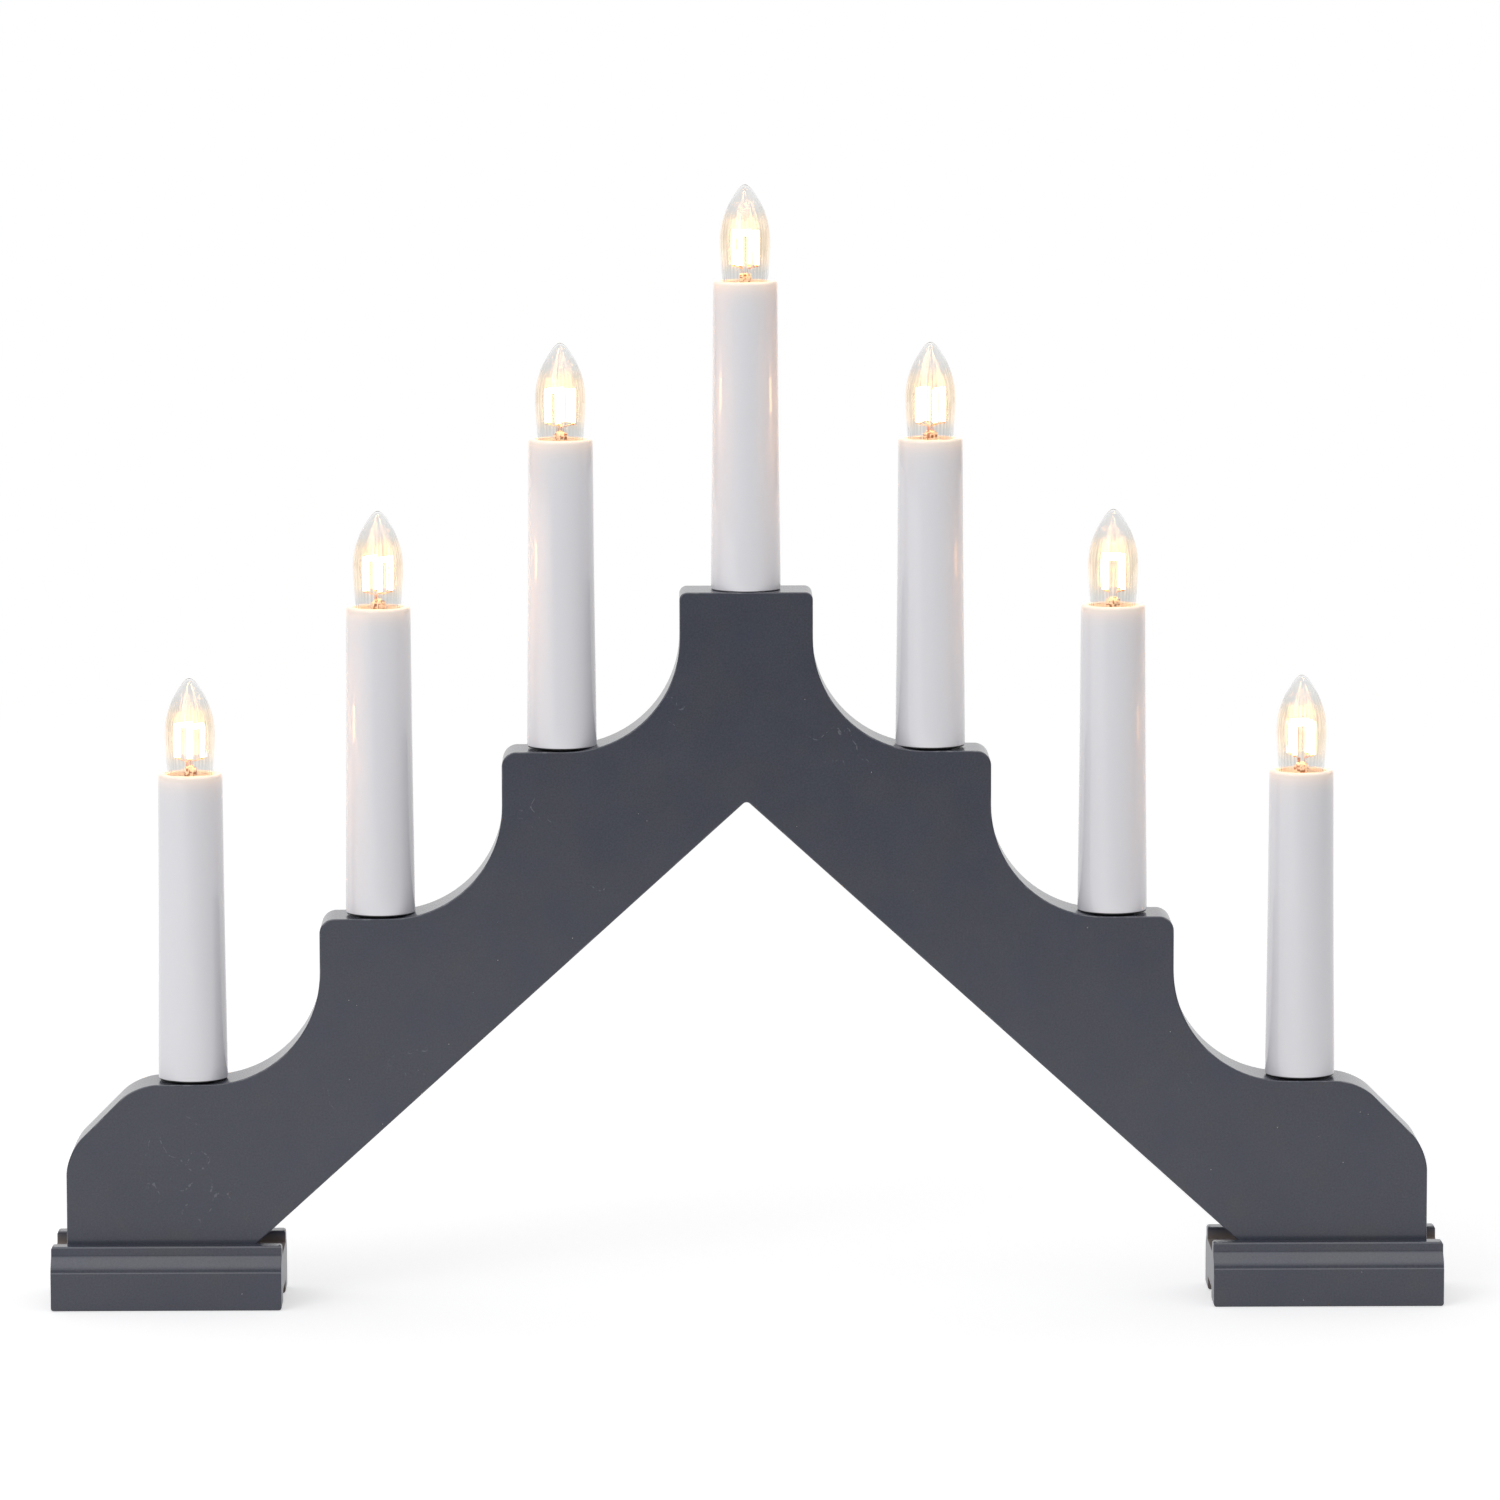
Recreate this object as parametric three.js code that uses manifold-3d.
// A seven-light candle arch for a window sill: a stepped wooden panel on two moulded feet,
// seven white candle sleeves over lamp holders, and seven screw-in candle lamps.
// Millimetres, +Z up. The origin is on the sill, midway between the feet. The front faces -Y.
import * as THREE from 'three';
import { mergeVertices } from 'three/addons/utils/BufferGeometryUtils.js';
import Module from 'manifold-3d';

const wasm = await Module();
wasm.setup();

// Clearances between pieces that are fitted together.
const fit = 0.2;
const bedGap = 0.3;

// Stepped panel. Each step is a vertical wall, a hollow cove and a level seat.
// Seats, walls and candles are listed from the middle outwards.
const panelThickness = 21;
const panelHalfWidth = 205.5;
const seatHeights = [216.1, 168.1, 117.7, 67.4];
const stepWalls = [20, 73.5, 128.6];
const coveRadius = 34;
const stepCornerRadius = 4.5;
const peakCornerRadius = 2.3;
const shoulderCut = 21;
const shoulderRadius = 16;
const apexHeight = 153.2;
const apexRadius = 1.5;
const undersideAngle = THREE.MathUtils.degToRad(42.2);

// Each candle's distance from the wall of its step, where the middle one has none.
const candleInsets = [35.5, 37, 38.9];

// Moulded feet, drawn as half a section across the panel and run along X: an upright face,
// a narrow ledge, a quarter round and an upright ridge beside the panel's groove.
const footHeight = 19;
const footHalfDepth = 20;
const footFaceHeight = 11;
const footLedge = 0.6;
const footRoundHeight = 4.5;
const footRidgeHalfDepth = 14.6;
const footRidgeRound = 0.8;
const footOuterOverhang = 4.5;
const footInnerOverhang = 7.5;
const footGrooveDepth = 3.5;
const footChannelHalfWidth = 8.5;
const footChannelHeight = 4;

// Wood screws that hold the panel down on its feet.
const footScrewInset = 17;
const screwRadius = 2;
const screwHeadRadius = 3.8;
const screwHeadHeight = 2.4;
const screwLength = 27;
const screwRecessRadius = 1.7;
const screwRecessDepth = 0.7;

// Candle sleeve: a tube that widens towards its foot, with a rounded rim and a lip inside.
const sleeveHeight = 92;
const sleeveTopRadius = 9.7;
const sleeveMiddleRadius = 10;
const sleeveMiddleHeight = 43;
const sleeveFlareRadius = 10.4;
const sleeveFlareHeight = 13;
const sleeveBaseRadius = 10.5;
const sleeveBore = 8;
const sleeveLipBore = 7.6;
const sleeveLipHeight = 3;
const sleeveRimRound = 1;
const sleeveLift = 1.45;
const peakSleeveLift = 0.75;

// Lamp holder: a hollow stem in the panel, a collar sunk into the seat under the sleeve,
// and a socket at the top.
const stemRadius = 5;
const stemLength = 25;
const collarRadius = 8.7;
const collarSink = 0.6;
const holderRadius = 7;
const wireBore = 2.4;
const holderTopBelowRim = 9;

// Screw shell and sprung contact in the socket, for a 10 mm screw cap.
const shellInnerRadius = 5.15;
const shellWall = 0.5;
const shellHeight = 10;
const contactRadius = 4.4;
const contactTipRadius = 1.6;
const contactPlateHeight = 0.8;
const contactHeight = 2.2;
const contactChamberRadius = 4.9;

// Lamp: cap, glass and the cage of light strips inside it. Heights are from the sleeve's rim.
const capRadius = 4.75;
const capTop = -8;
const capLength = 12;
const capTipRadius = 1.3;
const capTipHeight = 0.7;
const capRecess = 2.5;
const capWall = 0.25;
const glassWall = 0.45;
const glassNeckRadius = 4.2;
const glassProfile = [
  [5.8, -6.2],
  [6.6, -3],
  [7.25, 5],
  [7.6, 11.5],
  [7.1, 16.8],
  [5.5, 21.8],
  [3.5, 25.3],
  [1.4, 28],
];
const glassTip = 28.8;
const cageHeight = 10.4;
const cageBottom = 4.8;
const cageSpacing = 5.3;
const stripWidth = 1.2;
const cageWire = 0.7;
const cageStemRadius = 0.9;
const cageBeadRadius = 1.3;
const cageBeadHeight = 3;

// Wiring: a flat flex in a groove in the back of the panel, with a tail up each stem.
const stationDrop = 30;
const grooveWidth = 6.4;
const grooveDepth = 4.5;
const flexWidth = 4;
const flexThickness = 2.5;
const tailRadius = 1.5;
const drillingRadius = 2.6;
const wellDepth = 3;
const bushLength = 8;
const bushBore = 1.5;
const staplePosition = 0.5;
const stapleWire = 1;
const stapleLegDepth = 6;

// Facets round each kind of turned piece.
const sleeveSides = 20;
const glassSides = 16;
const holderSides = 12;
const smallSides = 8;
const coveSteps = 10;
const cornerSteps = 4;
const ridgeSteps = 2;

const paint = new THREE.MeshStandardMaterial({ color: 0x55545a, roughness: 0.55, metalness: 0 });
const whitePlastic = new THREE.MeshStandardMaterial({ color: 0xe2dedd, roughness: 0.3, metalness: 0 });
const darkPlastic = new THREE.MeshStandardMaterial({ color: 0x1d1c1c, roughness: 0.6, metalness: 0 });
const brass = new THREE.MeshStandardMaterial({ color: 0xb8934f, roughness: 0.35, metalness: 1 });
const steel = new THREE.MeshStandardMaterial({ color: 0xa8a9ab, roughness: 0.4, metalness: 1 });
const clearGlass = new THREE.MeshStandardMaterial({ color: 0xf2f4f3, roughness: 0.05, metalness: 0 });
const lightStrip = new THREE.MeshStandardMaterial({ color: 0xffdf9e, roughness: 0.5, metalness: 0 });
const flexSheath = new THREE.MeshStandardMaterial({ color: 0x202022, roughness: 0.7, metalness: 0 });

// Joins the vertices of a closed geometry and drops the faces that have no area.
function weld(geometry) {
  const bare = geometry.index ? geometry.toNonIndexed() : geometry;
  bare.deleteAttribute('normal');
  bare.deleteAttribute('uv');
  const merged = mergeVertices(bare, 1e-4);
  const kept = [];
  const index = merged.index.array;
  for (let i = 0; i < index.length; i += 3) {
    const [a, b, c] = [index[i], index[i + 1], index[i + 2]];
    if (a !== b && b !== c && c !== a) {
      kept.push(a, b, c);
    }
  }
  merged.setIndex(kept);
  return merged;
}

function toSolid(geometry) {
  const welded = weld(geometry);
  return new wasm.Manifold(new wasm.Mesh({
    numProp: 3,
    vertProperties: new Float32Array(welded.attributes.position.array),
    triVerts: new Uint32Array(welded.index.array),
  }));
}

function toGeometry(solid) {
  const mesh = solid.getMesh();
  const geometry = new THREE.BufferGeometry();
  geometry.setAttribute('position', new THREE.BufferAttribute(mesh.vertProperties, 3));
  geometry.setIndex(new THREE.BufferAttribute(mesh.triVerts, 1));
  return geometry;
}

function subtractAll(geometry, cutters) {
  return toGeometry(cutters.reduce((rest, cutter) => rest.subtract(toSolid(cutter)), toSolid(geometry)));
}

function addAll(geometries) {
  return toGeometry(geometries.map(toSolid).reduce((whole, piece) => whole.add(piece)));
}

// Turns a profile of [radius, height] points about the Z axis. The profile runs counter-clockwise:
// it climbs on the outside. It starts and ends on the axis, or it is closed by repeating its start.
function turned(profile, sides) {
  const closed = profile[0][0] === 0 ? profile : [...profile, profile[0]];
  const points = closed.map(([radius, height]) => new THREE.Vector2(radius, height));
  return weld(new THREE.LatheGeometry(points, sides).rotateX(Math.PI / 2));
}

function rod(radius, bottom, top, sides) {
  return turned([[0, bottom], [radius, bottom], [radius, top], [0, top]], sides);
}

function block(low, high) {
  const size = high.map((value, axis) => value - low[axis]);
  const middle = high.map((value, axis) => (value + low[axis]) / 2);
  return new THREE.BoxGeometry(...size).translate(...middle);
}

function arc(centreX, centreZ, radius, from, to, steps) {
  return Array.from({ length: steps + 1 }, (_, step) => {
    const angle = from + (to - from) * step / steps;
    return new THREE.Vector2(centreX + radius * Math.cos(angle), centreZ + radius * Math.sin(angle));
  });
}

// Extrudes an outline drawn in X and Z along Y, from front to back.
function plate(points, front, back) {
  const shape = new THREE.Shape(points);
  const geometry = new THREE.ExtrudeGeometry(shape, { depth: back - front, bevelEnabled: false });
  return geometry.rotateX(Math.PI / 2).translate(0, back, 0);
}

const panelBack = panelThickness / 2;
const panelBottom = footHeight - footGrooveDepth + fit;
const lastRing = seatHeights.length - 1;
const candleAxes = [0, ...candleInsets.map((inset, step) => stepWalls[step] + inset)];
const sleeveBaseOf = (ring) => seatHeights[ring] + (ring === 0 ? peakSleeveLift : sleeveLift);
const rimOf = (ring) => sleeveBaseOf(ring) + sleeveHeight;
const stationOf = (ring) => new THREE.Vector2(candleAxes[ring], seatHeights[ring] - stationDrop);

// Where the sloping underside meets a height, and the ends of the feet.
const undersideAt = (height) => (apexHeight - height) / Math.tan(undersideAngle);
const footInnerEnd = undersideAt(footHeight) - footInnerOverhang;
const footOuterEnd = panelHalfWidth + footOuterOverhang;

// The candles from left to right, each with the ring that sets its distance from the middle.
const candles = [-3, -2, -1, 0, 1, 2, 3].map((place, index) => ({
  number: index + 1,
  ring: Math.abs(place),
  x: Math.sign(place) * candleAxes[Math.abs(place)],
}));

// The right half of the panel's outline, from the foot up to the peak.
function stepOutline() {
  const quarter = Math.PI / 2;
  const half = Math.PI;
  const shoulderTop = seatHeights[lastRing];
  const slack = shoulderRadius * Math.tan(quarter / 4);
  const edgeRoundX = panelHalfWidth - shoulderRadius;
  const edgeRoundZ = shoulderTop - shoulderCut - slack;
  const seatRoundX = panelHalfWidth - shoulderCut - slack;
  const seatRoundZ = shoulderTop - shoulderRadius;
  const points = [new THREE.Vector2(panelHalfWidth, panelBottom)];
  points.push(...arc(edgeRoundX, edgeRoundZ, shoulderRadius, 0, quarter / 2, cornerSteps));
  points.push(...arc(seatRoundX, seatRoundZ, shoulderRadius, quarter / 2, quarter, cornerSteps));
  for (let ring = lastRing; ring > 0; ring -= 1) {
    const wall = stepWalls[ring - 1];
    const corner = ring === 1 ? peakCornerRadius : stepCornerRadius;
    const coveHeight = seatHeights[ring] + coveRadius;
    const cornerHeight = seatHeights[ring - 1] - corner;
    points.push(...arc(wall + coveRadius, coveHeight, coveRadius, 3 * quarter, half, coveSteps));
    points.push(...arc(wall - corner, cornerHeight, corner, 0, quarter, cornerSteps));
  }
  return points;
}

// The right half of the underside, from the rounded apex down to the foot.
const apexCentre = apexHeight - apexRadius / Math.cos(undersideAngle);

function undersideOutline() {
  const crown = arc(0, apexCentre, apexRadius, Math.PI / 2, Math.PI / 2 - undersideAngle, cornerSteps);
  return [...crown.slice(1), new THREE.Vector2(undersideAt(panelBottom), panelBottom)];
}

const mirrored = (points) => points.map((point) => new THREE.Vector2(-point.x, point.y)).reverse();

function panelOutline() {
  const outer = stepOutline();
  const under = undersideOutline();
  const apex = new THREE.Vector2(0, apexCentre + apexRadius);
  return [...outer, ...mirrored(outer), ...mirrored(under), apex, ...under];
}

// A stripe of one width along a line of points in X and Z, mitred where the line turns.
function stripe(line, width) {
  const sideAt = (index, side) => {
    const here = line[index];
    const before = line[Math.max(index - 1, 0)];
    const after = line[Math.min(index + 1, line.length - 1)];
    const into = here.clone().sub(before).normalize();
    const out = after.clone().sub(here).normalize();
    const along = into.add(out).normalize();
    const reach = index === 0 ? out : here.clone().sub(before).normalize();
    const mitre = width / 2 / along.dot(reach);
    return new THREE.Vector2(here.x - side * along.y * mitre, here.y + side * along.x * mitre);
  };
  const left = line.map((_, index) => sideAt(index, 1));
  const right = line.map((_, index) => sideAt(index, -1));
  return [...right, ...left.reverse()];
}

// The line of the wiring groove: through the station below each candle and out of the right edge.
function grooveLine(end) {
  const stations = candles.map(({ ring, x }) => new THREE.Vector2(x, stationOf(ring).y));
  return [...stations, new THREE.Vector2(end, stationOf(lastRing).y)];
}

const screwAxes = [-1, 1].flatMap((side) => [
  side * (footInnerEnd + footScrewInset),
  side * (footOuterEnd - footScrewInset),
]);
const screwHeadBottom = footChannelHeight + fit;
const grooveFloor = panelBack - grooveDepth;
const stapleAt = (side) => stationOf(1).clone().lerp(stationOf(2), staplePosition)
  .multiply(new THREE.Vector2(side, 1));
const stapleLean = Math.atan2(stationOf(1).y - stationOf(2).y, candleAxes[2] - candleAxes[1]);
const stapleHalfWidth = flexWidth / 2 + fit + stapleWire;
const flexBack = grooveFloor + fit + flexThickness;

// The staple's two legs and its crown, drawn flat and driven in from the back.
function stapleBlocks(side, grow) {
  const at = stapleAt(side);
  const wire = stapleWire / 2 + grow;
  const legs = [-1, 1].map((edge) => {
    const middle = edge * (stapleHalfWidth - stapleWire / 2);
    return block([-wire, grooveFloor - stapleLegDepth - grow, middle - wire],
      [wire, flexBack + fit + stapleWire, middle + wire]);
  });
  const crown = block([-wire, flexBack + fit, -stapleHalfWidth - grow],
    [wire, flexBack + fit + stapleWire + grow, stapleHalfWidth + grow]);
  return [...legs, crown].map((piece) => piece.rotateY(side * stapleLean).translate(at.x, 0, at.y));
}

function panelGeometry() {
  const groove = plate(stripe(grooveLine(panelHalfWidth + bushLength), grooveWidth), grooveFloor,
    panelBack + grooveDepth);
  const wells = candles.map(({ ring, x }) => rod(stemRadius + bedGap, stationOf(ring).y - wellDepth,
    seatHeights[ring] + coveRadius, holderSides).translate(x, 0, 0));
  const spotFaces = candles.map(({ ring, x }) => rod(collarRadius + bedGap,
    seatHeights[ring] - collarSink, seatHeights[ring] + coveRadius, holderSides).translate(x, 0, 0));
  const drillings = candles.map(({ ring, x }) => rod(drillingRadius, -panelBack, 0, smallSides)
    .rotateX(Math.PI / 2).translate(x, 0, stationOf(ring).y));
  const pilots = screwAxes.map((x) => rod(screwRadius + fit, 0,
    screwHeadBottom + screwLength + fit, smallSides).translate(x, 0, 0));
  const stapleHoles = [-1, 1].flatMap((side) => stapleBlocks(side, fit));
  const blank = plate(panelOutline(), -panelBack, panelBack);
  return subtractAll(blank, [groove, ...wells, ...spotFaces, ...drillings, ...pilots, ...stapleHoles]);
}

// Half of the foot's section in Y and Z, from the channel underneath up to the groove on top.
function footHalfSection() {
  const grooveHalfWidth = panelBack + bedGap;
  const round = footRidgeRound;
  const quarter = Math.PI / 2;
  const roundDepth = footHalfDepth - footLedge - footRidgeHalfDepth;
  const quarterRound = Array.from({ length: cornerSteps + 1 }, (_, step) => new THREE.Vector2(
    footRidgeHalfDepth + roundDepth * Math.cos(quarter * step / cornerSteps),
    footFaceHeight + footRoundHeight * Math.sin(quarter * step / cornerSteps),
  ));
  return [
    new THREE.Vector2(footChannelHalfWidth, footChannelHeight),
    new THREE.Vector2(footChannelHalfWidth, 0),
    new THREE.Vector2(footHalfDepth, 0),
    new THREE.Vector2(footHalfDepth, footFaceHeight),
    ...quarterRound,
    ...arc(footRidgeHalfDepth - round, footHeight - round, round, 0, quarter, ridgeSteps),
    ...arc(grooveHalfWidth + round, footHeight - round, round, quarter, 2 * quarter, ridgeSteps),
    new THREE.Vector2(grooveHalfWidth, footHeight - footGrooveDepth),
  ];
}

function footGeometry(side) {
  const half = footHalfSection();
  const section = new THREE.Shape([...half, ...mirrored(half)]);
  const length = footOuterEnd - footInnerEnd;
  const bar = new THREE.ExtrudeGeometry(section, { depth: length, bevelEnabled: false });
  // The section's axes (across, up, along) become Y, Z and X.
  bar.rotateX(Math.PI / 2).rotateZ(Math.PI / 2).translate(side > 0 ? footInnerEnd : -footOuterEnd, 0, 0);
  const holes = screwAxes.filter((x) => x * side > 0).flatMap((x) => [
    rod(screwRadius + fit, 0, footHeight, smallSides).translate(x, 0, 0),
    turned([[0, 0], [screwHeadRadius + fit, 0], [screwHeadRadius + fit, screwHeadBottom + fit],
      [screwRadius + fit, screwHeadBottom + screwHeadHeight + fit],
      [0, screwHeadBottom + screwHeadHeight + fit]], smallSides).translate(x, 0, 0),
  ]);
  return subtractAll(bar, holes);
}

function screwGeometry() {
  const shankEnd = screwLength - 2 * screwRadius;
  return turned([
    [0, screwRecessDepth],
    [screwRecessRadius, 0],
    [screwHeadRadius, 0],
    [screwRadius, screwHeadHeight],
    [screwRadius, shankEnd],
    [0, screwLength],
  ], smallSides);
}

function sleeveGeometry() {
  const rim = sleeveHeight;
  const round = sleeveRimRound;
  return turned([
    [sleeveBore, 0],
    [sleeveBaseRadius, 0],
    [sleeveFlareRadius, sleeveFlareHeight],
    [sleeveMiddleRadius, sleeveMiddleHeight],
    [sleeveTopRadius, rim - round],
    [sleeveTopRadius - round + round * Math.SQRT1_2, rim - round + round * Math.SQRT1_2],
    [sleeveTopRadius - round, rim],
    [sleeveLipBore, rim],
    [sleeveLipBore, rim - sleeveLipHeight],
    [sleeveBore, rim - sleeveLipHeight - (sleeveBore - sleeveLipBore)],
  ], sleeveSides);
}

// Heights of the socket, from the sleeve's rim.
const capTip = capTop - capLength;
const contactBottom = capTip - fit - contactHeight;
const socketFloor = contactBottom - fit;
const shellBottom = -holderTopBelowRim - shellHeight;
const socketRadius = shellInnerRadius + shellWall + bedGap;

// The holder in heights from its candle's seat.
function holderGeometry(ring) {
  const lift = sleeveBaseOf(ring) - seatHeights[ring];
  const rim = lift + sleeveHeight;
  return turned([
    [wireBore, -stemLength],
    [stemRadius, -stemLength],
    [stemRadius, fit - collarSink],
    [collarRadius, fit - collarSink],
    [collarRadius, lift - fit],
    [holderRadius, lift - fit],
    [holderRadius, rim - holderTopBelowRim],
    [socketRadius, rim - holderTopBelowRim],
    [socketRadius, rim + shellBottom - fit],
    [contactChamberRadius, rim + shellBottom - fit],
    [contactChamberRadius, rim + socketFloor],
    [wireBore, rim + socketFloor],
  ], holderSides);
}

function shellGeometry() {
  const outer = shellInnerRadius + shellWall;
  const top = shellBottom + shellHeight;
  return turned([
    [shellInnerRadius, shellBottom],
    [outer, shellBottom],
    [outer, top],
    [shellInnerRadius, top],
  ], holderSides);
}

function contactGeometry() {
  const plateTop = contactBottom + contactPlateHeight;
  return turned([
    [0, contactBottom],
    [contactRadius, contactBottom],
    [contactRadius, plateTop],
    [contactTipRadius, contactBottom + contactHeight],
    [0, contactBottom + contactHeight],
  ], smallSides);
}

function capGeometry() {
  const neck = glassNeckRadius + capWall;
  const crimp = capTip + 2 * capTipHeight;
  return turned([
    [0, capTip],
    [capTipRadius, capTip],
    [capTipRadius, capTip + capTipHeight],
    [capRadius - capTipHeight, crimp],
    [capRadius, crimp + capTipHeight],
    [capRadius, capTop],
    [neck, capTop],
    [neck, capTop - capRecess],
    [0, capTop - capRecess],
  ], holderSides);
}

function glassGeometry() {
  const neckBottom = capTop - capRecess + fit;
  const inside = glassProfile.filter((_, index) => index % 2 === 1)
    .map(([radius, height]) => [radius - glassWall, height]).reverse();
  return turned([
    [0, glassTip - glassWall],
    ...inside,
    [glassNeckRadius - glassWall, capTop],
    [glassNeckRadius - glassWall, neckBottom],
    [glassNeckRadius, neckBottom],
    [glassNeckRadius, capTop],
    ...glassProfile,
    [0, glassTip],
  ], glassSides);
}

// The stem, its bead and the light strips: two arches, each of two uprights and a bar across the
// top, held by a cross of thick wire at the foot and at the head of the uprights.
function cageGeometry() {
  const cageTop = cageBottom + cageHeight;
  const stem = turned([
    [0, capTop - capRecess + fit],
    [cageStemRadius, capTop - capRecess + fit],
    [cageStemRadius, -cageBeadHeight / 2],
    [cageBeadRadius, 0],
    [cageStemRadius, cageBeadHeight / 2],
    [cageStemRadius, cageBottom + 1.5 * cageWire],
    [0, cageBottom + 1.5 * cageWire],
  ], smallSides);
  const inner = (cageSpacing - stripWidth) / 2;
  const outer = (cageSpacing + stripWidth) / 2;
  const uprights = [-1, 1].flatMap((side) => [-1, 1].map((face) => block(
    [Math.min(side * inner, side * outer), Math.min(face * inner, face * outer), cageBottom],
    [Math.max(side * inner, side * outer), Math.max(face * inner, face * outer), cageTop],
  )));
  const bars = [-1, 1].map((face) => block(
    [-outer, Math.min(face * inner, face * outer), cageTop - stripWidth],
    [outer, Math.max(face * inner, face * outer), cageTop],
  ));
  const crossBottoms = [cageBottom + cageWire, cageTop - stripWidth - 2 * cageWire];
  const reach = cageSpacing * Math.SQRT1_2;
  const crosses = crossBottoms.flatMap((bottom) => [-1, 1].map((turn) => block(
    [-reach, -cageWire / 2, bottom],
    [reach, cageWire / 2, bottom + cageWire],
  ).rotateZ(turn * Math.PI / 4)));
  return addAll([stem, ...crosses, ...uprights, ...bars]);
}

// The flex in its groove, with a link into each stem and a tail up to the socket's floor.
function harnessGeometry() {
  const run = plate(stripe(grooveLine(panelHalfWidth - bushLength - fit), flexWidth),
    grooveFloor + fit, flexBack);
  const links = candles.map(({ ring, x }) => block(
    [x - tailRadius, -tailRadius, stationOf(ring).y - tailRadius],
    [x + tailRadius, flexBack - fit, stationOf(ring).y + tailRadius],
  ));
  const tails = candles.map(({ ring, x }) => rod(tailRadius, stationOf(ring).y,
    rimOf(ring) + socketFloor, smallSides).translate(x, 0, 0));
  return addAll([run, ...links, ...tails]);
}

function bushGeometry() {
  const height = stationOf(lastRing).y;
  const half = grooveWidth / 2 - fit;
  const body = block([panelHalfWidth - bushLength, grooveFloor + fit, height - half],
    [panelHalfWidth, panelBack, height + half]);
  const bore = rod(bushBore, -bushLength, bushLength, smallSides).rotateY(Math.PI / 2)
    .translate(panelHalfWidth, (grooveFloor + fit + panelBack) / 2, height);
  return subtractAll(body, [bore]);
}

const arch = new THREE.Group();

function add(name, geometry, material, x = 0, z = 0) {
  const mesh = new THREE.Mesh(geometry, material);
  mesh.name = name;
  mesh.position.set(x, 0, z);
  arch.add(mesh);
}

add('arch_panel', panelGeometry(), paint);
add('foot_left', footGeometry(-1), paint);
add('foot_right', footGeometry(1), paint);
screwAxes.forEach((x, index) => {
  add(`foot_screw_${index + 1}`, screwGeometry(), steel, x, screwHeadBottom);
});
add('wiring_harness', harnessGeometry(), flexSheath);
add('cord_bush', bushGeometry(), darkPlastic);
add('wire_staple_left', addAll(stapleBlocks(-1, 0)), steel);
add('wire_staple_right', addAll(stapleBlocks(1, 0)), steel);

for (const { number, ring, x } of candles) {
  add(`candle_sleeve_${number}`, sleeveGeometry(), whitePlastic, x, sleeveBaseOf(ring));
  add(`lamp_holder_${number}`, holderGeometry(ring), darkPlastic, x, seatHeights[ring]);
  add(`screw_shell_${number}`, shellGeometry(), brass, x, rimOf(ring));
  add(`contact_spring_${number}`, contactGeometry(), brass, x, rimOf(ring));
  add(`bulb_cap_${number}`, capGeometry(), brass, x, rimOf(ring));
  add(`bulb_glass_${number}`, glassGeometry(), clearGlass, x, rimOf(ring));
  add(`bulb_filament_${number}`, cageGeometry(), lightStrip, x, rimOf(ring));
}

export default arch;
